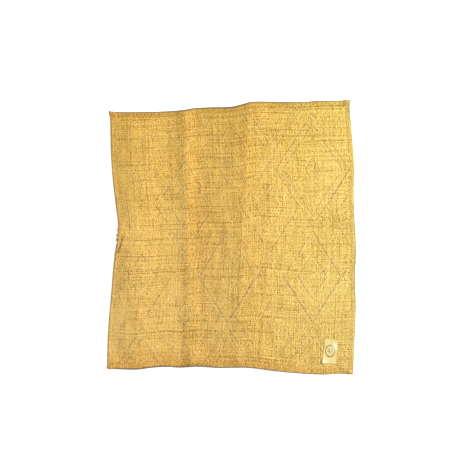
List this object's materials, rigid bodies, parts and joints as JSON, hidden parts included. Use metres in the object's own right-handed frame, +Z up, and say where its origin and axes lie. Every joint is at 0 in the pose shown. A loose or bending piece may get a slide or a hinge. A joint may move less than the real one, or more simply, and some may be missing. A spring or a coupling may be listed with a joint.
{
  "type": "kuba raffia cloth",
  "caption": "Near-square panel of plain-woven raffia with turned hems and stitched lozenge outlines, lying flat in soft waves, with a small plain label at one corner.",
  "frame": {"origin": "on the surface the cloth lies on, under the middle of its outline", "axes": "+X along the wefts to the right, +Y along the warps to the upper edge, +Z up off the surface"},
  "size_m": [0.571, 0.6296, 0.0159],
  "materials": {
    "raffia": "matte plain-woven palm fibre, golden straw with darker streaks",
    "label_card": "smooth cream, slightly glossy"
  },
  "bodies": {
    "root": {"cloth": "raffia", "label": "label_card"}
  },
  "joints": []
}
